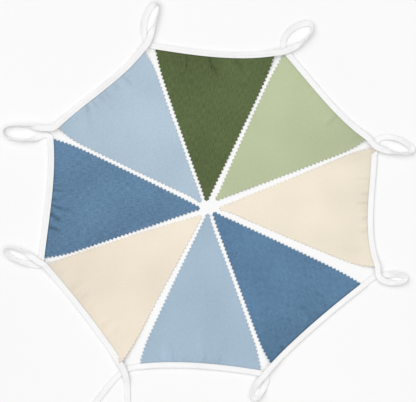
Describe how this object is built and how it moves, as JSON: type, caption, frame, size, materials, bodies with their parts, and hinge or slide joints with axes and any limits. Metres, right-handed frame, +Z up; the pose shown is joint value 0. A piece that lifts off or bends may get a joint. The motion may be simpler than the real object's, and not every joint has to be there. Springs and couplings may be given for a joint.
{
  "type": "fabric bunting",
  "caption": "Fabric bunting of pinked triangular pennants bound by their tops into one folded white tape, laid out as a wheel with the tips together and the spare tape in loops.",
  "frame": {"origin": "middle of the bunting's footprint, on the surface that it lies on", "axes": "+Z up from the surface, +Y towards the moss pennant, +X towards the right-hand cream pennant"},
  "size_m": [0.5782, 0.5796, 0.0087],
  "materials": {
    "cloth_cream": "matt plain weave, cream",
    "cloth_denim": "matt plain weave, denim blue",
    "cloth_pale": "matt plain weave, pale blue",
    "cloth_moss": "matt plain weave, moss green",
    "cloth_sage": "matt plain weave, sage green",
    "tape_white": "fine matt tape, white, sewn with white thread"
  },
  "bodies": {
    "root": {"pennant_cream_left": "cloth_cream", "pennant_denim_left": "cloth_denim", "pennant_pale_left": "cloth_pale", "pennant_moss": "cloth_moss", "pennant_sage": "cloth_sage", "pennant_cream_right": "cloth_cream", "pennant_denim_right": "cloth_denim", "pennant_pale_bottom": "cloth_pale", "tape": "tape_white"}
  },
  "joints": []
}
